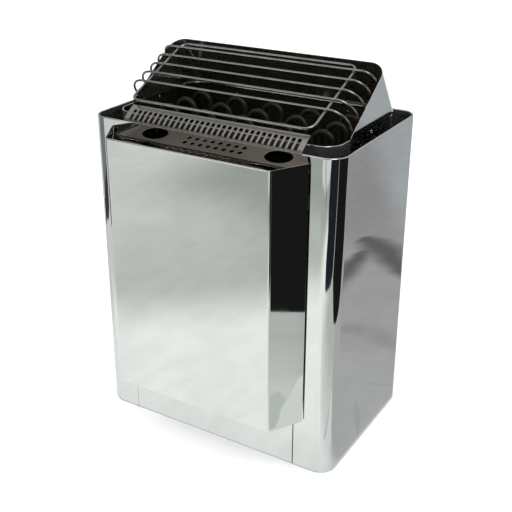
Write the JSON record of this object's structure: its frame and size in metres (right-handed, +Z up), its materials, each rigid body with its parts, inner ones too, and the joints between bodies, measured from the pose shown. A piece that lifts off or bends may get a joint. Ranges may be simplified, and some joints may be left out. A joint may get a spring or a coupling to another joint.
{
  "type": "sauna heater stove",
  "caption": "Electric sauna heater: polished sheet casing with rounded corners, chamfered hot-air cover, open stone tub with tubular elements, leaning rear guard and lift-off wire stone guard.",
  "frame": {"origin": "middle of the footprint, on the floor", "axes": "+Z up, +Y from the front cover to the back, +X to the viewer's right when facing the front"},
  "size_m": [0.41, 0.3216, 0.5785],
  "materials": {
    "polished_steel": "polished",
    "sheet_steel": "satin",
    "satin_strip": "satin",
    "guard_wire": "satin",
    "zinc_fastener": "satin",
    "element_sheath": "satin",
    "brass_fitting": "satin",
    "ceramic_insulator": "matte",
    "lead_sleeve": "matte",
    "black_plastic": "matte",
    "red_plastic": "gloss",
    "copper_bulb": "satin"
  },
  "bodies": {
    "heater": {"outer_casing": "polished_steel", "lower_front_panel": "polished_steel", "access_panel_screws": "zinc_fastener", "rear_panel": "sheet_steel", "rear_panel_screws": "zinc_fastener", "front_cover": "polished_steel", "cover_brackets": "sheet_steel", "air_deflector": "satin_strip", "deflector_rivets": "satin_strip", "stone_tub": "polished_steel", "tub_brackets": "sheet_steel", "rear_guard": "polished_steel", "guard_rivets": "satin_strip", "stone_grate": "element_sheath", "grate_rails": "sheet_steel", "heating_element_front": "element_sheath", "heating_element_middle": "element_sheath", "heating_element_rear": "element_sheath", "element_plate": "sheet_steel", "plate_screws": "zinc_fastener", "element_glands": "brass_fitting", "element_nuts": "brass_fitting", "ceramic_beads": "ceramic_insulator", "terminal_pins": "zinc_fastener", "star_link": "brass_fitting", "lead_wires": "lead_sleeve", "base_plate": "sheet_steel", "terminal_block": "ceramic_insulator", "terminal_screws": "zinc_fastener", "earth_stud": "brass_fitting", "gland_body": "black_plastic", "gland_cap": "black_plastic", "gland_locknut": "black_plastic", "limiter_body": "black_plastic", "limiter_nut": "zinc_fastener", "sensor_bulb": "copper_bulb", "bulb_clips": "sheet_steel"},
    "wire_guard": {"guard_frame": "guard_wire", "guard_wire_1": "guard_wire", "guard_wire_2": "guard_wire", "guard_wire_3": "guard_wire", "guard_wire_4": "guard_wire", "guard_wire_5": "guard_wire"},
    "reset_button": {"reset_button": "red_plastic"}
  },
  "joints": [
    {"name": "guard_lift", "type": "slide", "parent": "heater", "child": "wire_guard", "axis": [0, -0.5693, 0.8221], "range_m": [0, 0.06]},
    {"name": "reset_press", "type": "slide", "parent": "heater", "child": "reset_button", "axis": [0, 0, 1], "range_m": [0, 0.002], "stiffness_N_per_m": 1000, "springref_m": -0.001}
  ]
}
